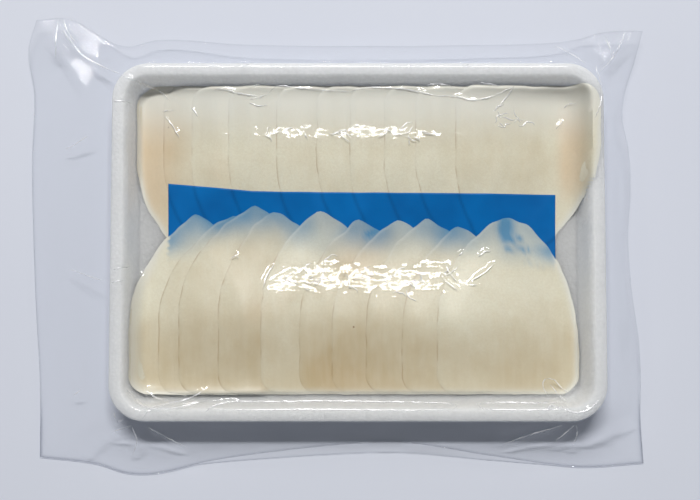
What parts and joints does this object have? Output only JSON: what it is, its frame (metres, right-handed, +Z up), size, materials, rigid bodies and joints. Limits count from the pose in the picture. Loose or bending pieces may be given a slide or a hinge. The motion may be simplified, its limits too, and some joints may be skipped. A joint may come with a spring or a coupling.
{
  "type": "vacuum pack of sliced seafood",
  "caption": "Clear vacuum pouch sealed round a shallow foam tray that holds two shingled rows of thin pale seafood slices with a blue separator sheet between the rows.",
  "frame": {"origin": "middle of the pack's outer box, at the height of the surface it rests on", "axes": "+X along the tray's long side, +Y towards the back row of slices, +Z up"},
  "size_m": [0.2606, 0.1914, 0.0179],
  "materials": {
    "foam": "matt fine-beaded foam",
    "seafood": "moist translucent ivory flesh",
    "sheet": "satin plastic sheet",
    "film": "clear glossy film with a fine embossed grid"
  },
  "bodies": {
    "root": {"foam_tray": "foam", "back_slice_01": "seafood", "back_slice_02": "seafood", "back_slice_03": "seafood", "back_slice_04": "seafood", "back_slice_05": "seafood", "back_slice_06": "seafood", "back_slice_07": "seafood", "back_slice_08": "seafood", "back_slice_09": "seafood", "back_slice_10": "seafood", "front_slice_01": "seafood", "front_slice_02": "seafood", "front_slice_03": "seafood", "front_slice_04": "seafood", "front_slice_05": "seafood", "front_slice_06": "seafood", "front_slice_07": "seafood", "front_slice_08": "seafood", "front_slice_09": "seafood", "front_slice_10": "seafood", "blue_sheet": "sheet", "film_bag": "film"}
  },
  "joints": []
}
